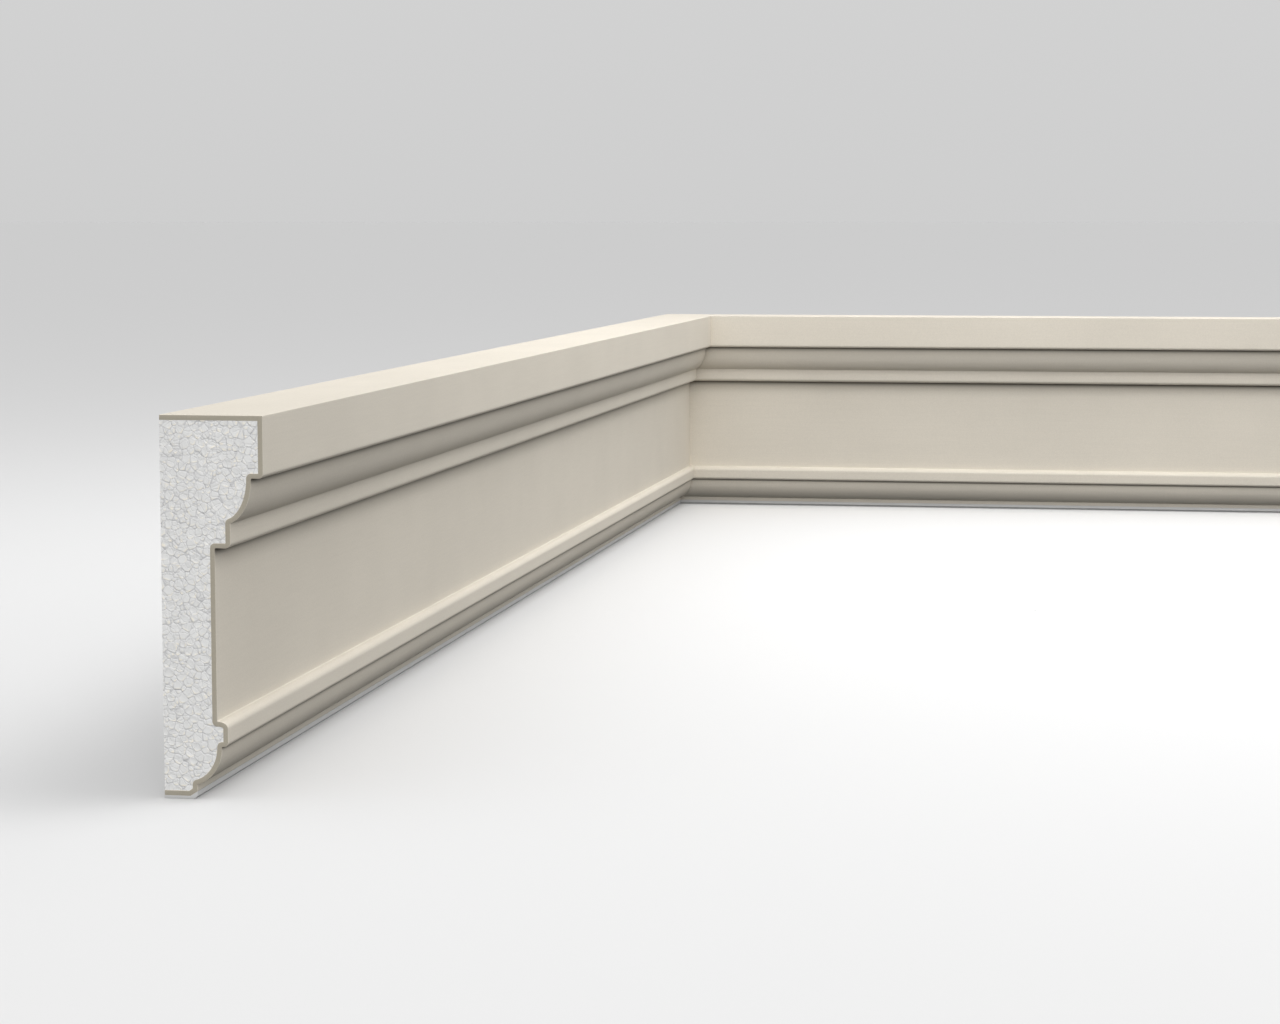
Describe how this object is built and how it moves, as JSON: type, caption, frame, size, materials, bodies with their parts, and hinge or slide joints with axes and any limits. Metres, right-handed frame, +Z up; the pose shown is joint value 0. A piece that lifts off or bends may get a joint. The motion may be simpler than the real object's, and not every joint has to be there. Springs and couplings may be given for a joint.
{
  "type": "coated foam facade moulding",
  "caption": "Stepped facade moulding in coated foam that turns an inside wall corner in a mitre, with two square-cut ends that show its core.",
  "frame": {"origin": "under the middle of the bounding box, in the plane of the underside. The inside corner of the walls is at x -0.5, y +1.0", "axes": "+X along the right run away from the corner, +Y along the left run towards the corner, +Z up. The left run's back faces -X and the right run's back faces +Y"},
  "size_m": [1, 2, 0.2382],
  "materials": {
    "foam_core": "sawn expanded polystyrene, white, with visible beads",
    "render_coat": "fine mineral render, beige, matt",
    "base_strip": "matt grey"
  },
  "bodies": {
    "root": {"left_foam_core": "foam_core", "left_render_coat": "render_coat", "left_base_strip": "base_strip", "right_foam_core": "foam_core", "right_render_coat": "render_coat", "right_base_strip": "base_strip"}
  },
  "joints": []
}
